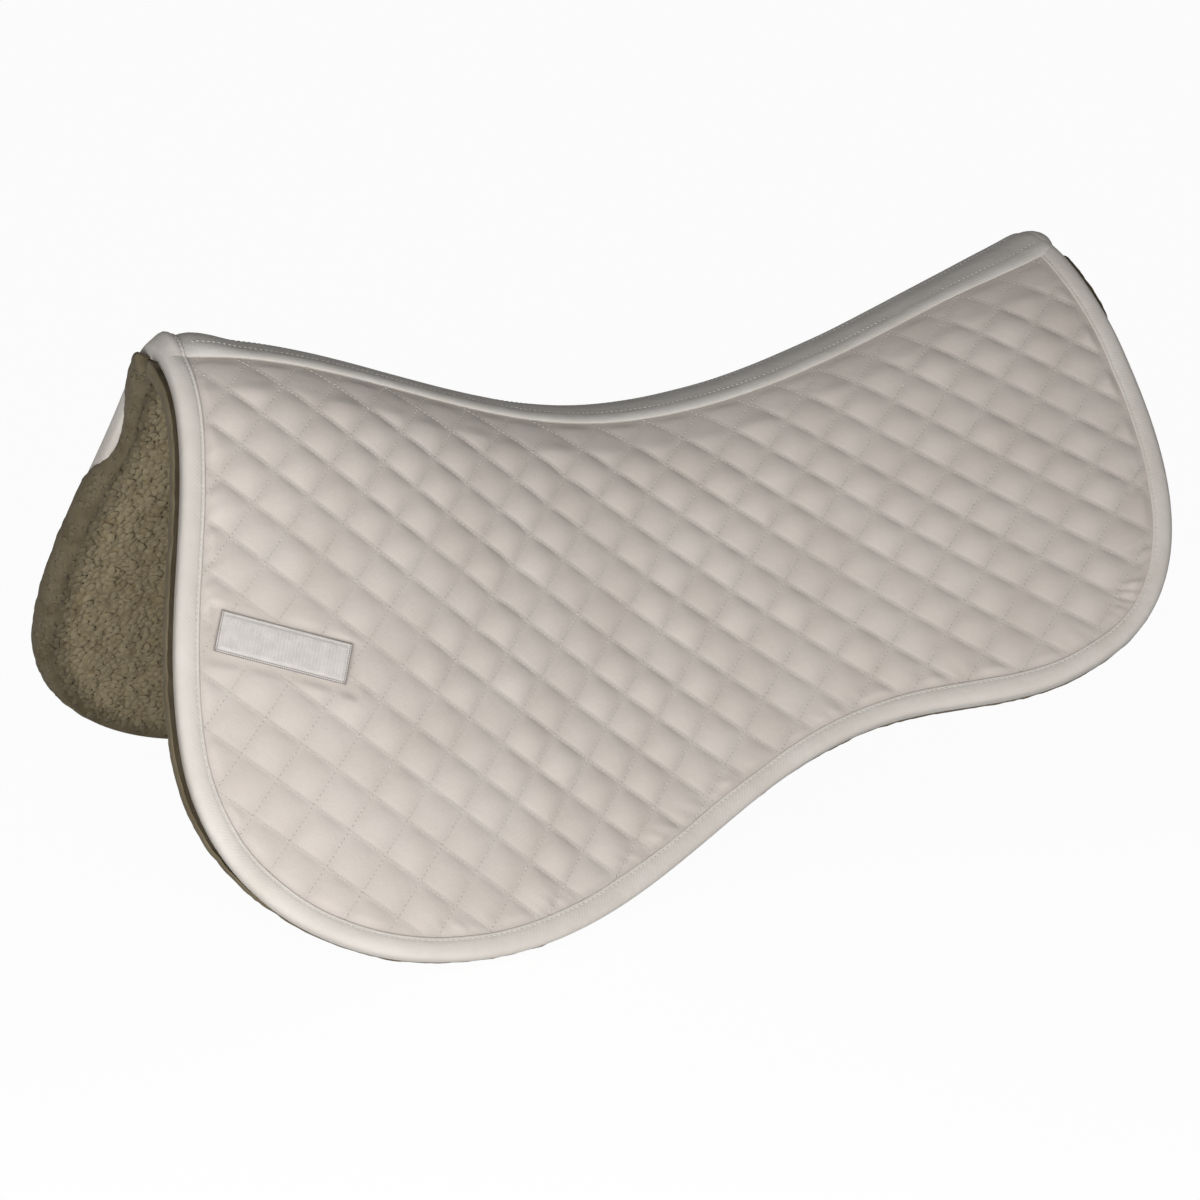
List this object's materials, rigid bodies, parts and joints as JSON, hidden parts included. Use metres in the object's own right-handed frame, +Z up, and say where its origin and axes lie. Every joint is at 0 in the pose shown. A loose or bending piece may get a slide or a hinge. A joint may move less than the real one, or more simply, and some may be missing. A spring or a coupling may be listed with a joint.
{
  "type": "sheepskin half pad",
  "caption": "Contoured half pad that lies under a saddle: quilted cotton outside, wool fleece inside, taped edges and a loop patch on each front flap.",
  "frame": {"origin": "under the spine at its lowest point, on the face that rests on the horse's back", "axes": "+X to the rear of the pad, +Y to the horse's right, +Z up"},
  "size_m": [0.6761, 0.4458, 0.35],
  "materials": {
    "quilted_cotton": "matt quilted cotton",
    "wadding": "matt polyester wadding",
    "backing_cloth": "matt thin cloth",
    "sheepskin_hide": "suede",
    "wool_pile": "cream wool",
    "binding_tape": "matt cotton twill",
    "loop_tape": "fuzzy loops"
  },
  "bodies": {
    "spine": {"spine_tape": "binding_tape", "spine_seam": "quilted_cotton", "spine_lining_tape": "binding_tape", "front_spine_binding": "binding_tape", "rear_spine_binding": "binding_tape"},
    "left_side": {"left_quilted_cover": "quilted_cotton", "left_wadding": "wadding", "left_backing_cloth": "backing_cloth", "left_sheepskin_hide": "sheepskin_hide", "left_wool_pile": "wool_pile", "left_edge_binding": "binding_tape", "left_loop_patch": "loop_tape"},
    "right_side": {"right_quilted_cover": "quilted_cotton", "right_wadding": "wadding", "right_backing_cloth": "backing_cloth", "right_sheepskin_hide": "sheepskin_hide", "right_wool_pile": "wool_pile", "right_edge_binding": "binding_tape", "right_loop_patch": "loop_tape"}
  },
  "joints": [
    {"name": "left_side_fold", "type": "hinge", "parent": "spine", "child": "left_side", "pos_m": [0.00869, -0.02024, 0.0881], "axis": [-0.9995, 0.0001, -0.0321], "range_deg": [0, 25]},
    {"name": "right_side_fold", "type": "hinge", "parent": "spine", "child": "right_side", "pos_m": [0.00869, 0.02024, 0.0881], "axis": [0.9995, 0.0001, 0.0321], "range_deg": [0, 25]}
  ]
}
